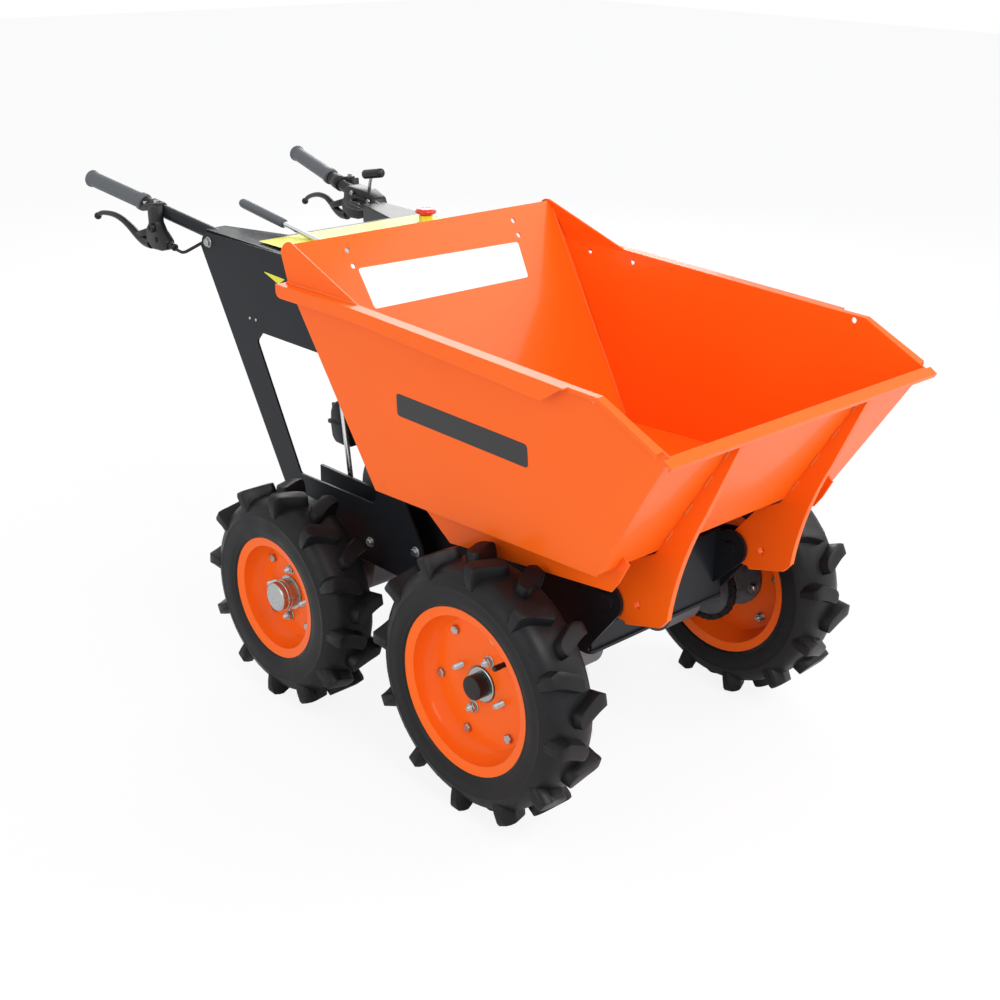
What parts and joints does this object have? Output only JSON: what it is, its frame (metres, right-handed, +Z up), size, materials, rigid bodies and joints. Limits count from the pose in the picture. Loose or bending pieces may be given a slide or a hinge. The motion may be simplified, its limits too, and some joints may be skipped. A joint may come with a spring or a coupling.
{
  "type": "site dumper",
  "caption": "Walk-behind petrol site dumper with lugged wheels on two axles, a forward-tipping sheet steel hopper and a handle console.",
  "frame": {"origin": "centre of the overall bounding box on the ground the tyres stand on", "axes": "+X forward, towards the hopper's lip; +Y to the machine's left; +Z up"},
  "size_m": [1.5988, 0.731, 0.8448],
  "materials": {
    "wheel_paint": "glossy orange enamel",
    "hopper_paint": "glossy orange enamel on steel sheet",
    "chassis_paint": "semi-gloss charcoal powder coat",
    "tank_paint": "gloss black enamel",
    "tyre": "black agricultural tread rubber",
    "grip_rubber": "soft black moulded rubber",
    "cable_rubber": "black cable sheath",
    "black_plastic": "moulded black",
    "red_plastic": "red button on a yellow base",
    "zinc": "bright zinc plate",
    "steel": "dark oiled steel",
    "muffler_steel": "heat-dulled steel",
    "cast_aluminium": "as-cast aluminium"
  },
  "bodies": {
    "chassis": {"air_cleaner": "black_plastic", "axle_front": "steel", "axle_rear": "steel", "brake_cable_left": "cable_rubber", "brake_cable_right": "cable_rubber", "brake_lever_left": "black_plastic", "brake_lever_right": "black_plastic", "chassis_floor": "chassis_paint", "chassis_side_left": "chassis_paint", "chassis_side_right": "chassis_paint", "console": "chassis_paint", "drive_chain": "steel", "emergency_stop": "red_plastic", "engine_block": "cast_aluminium", "front_plate": "chassis_paint", "fuel_tank": "tank_paint", "gear_lever": "black_plastic", "gearbox": "cast_aluminium", "grip_left": "grip_rubber", "grip_right": "grip_rubber", "handle_left": "chassis_paint", "handle_right": "chassis_paint", "muffler": "muffler_steel", "shift_rod": "steel", "side_panel_left": "chassis_paint", "side_panel_right": "chassis_paint", "throttle": "black_plastic", "throttle_cable": "cable_rubber"},
    "wheel_front_left": {"tyre_front_left": "tyre", "rim_front_left": "wheel_paint", "hub_front_left": "zinc"},
    "wheel_front_right": {"tyre_front_right": "tyre", "rim_front_right": "wheel_paint", "hub_front_right": "zinc"},
    "wheel_rear_left": {"tyre_rear_left": "tyre", "rim_rear_left": "wheel_paint", "hub_rear_left": "zinc"},
    "wheel_rear_right": {"tyre_rear_right": "tyre", "rim_rear_right": "wheel_paint", "hub_rear_right": "zinc"},
    "hopper": {"hopper_bracket_left": "hopper_paint", "hopper_bracket_right": "hopper_paint", "hopper_floor": "hopper_paint", "hopper_front": "hopper_paint", "hopper_rear": "hopper_paint", "hopper_side_left": "hopper_paint", "hopper_side_right": "hopper_paint"}
  },
  "joints": [
    {"name": "wheel_front_left_spin", "type": "hinge", "parent": "chassis", "child": "wheel_front_left", "pos_m": [0.442, 0.3135, 0.22], "axis": [0, 1, 0], "continuous": true},
    {"name": "wheel_front_right_spin", "type": "hinge", "parent": "chassis", "child": "wheel_front_right", "pos_m": [0.442, -0.3135, 0.22], "axis": [0, 1, 0], "continuous": true},
    {"name": "wheel_rear_left_spin", "type": "hinge", "parent": "chassis", "child": "wheel_rear_left", "pos_m": [-0.062, 0.3135, 0.1986], "axis": [0, 1, 0], "continuous": true},
    {"name": "wheel_rear_right_spin", "type": "hinge", "parent": "chassis", "child": "wheel_rear_right", "pos_m": [-0.062, -0.3135, 0.1986], "axis": [0, 1, 0], "continuous": true},
    {"name": "hopper_tip", "type": "hinge", "parent": "chassis", "child": "hopper", "pos_m": [0.557, 0, 0.357], "axis": [0, 1, 0], "range_deg": [0, 80]}
  ]
}
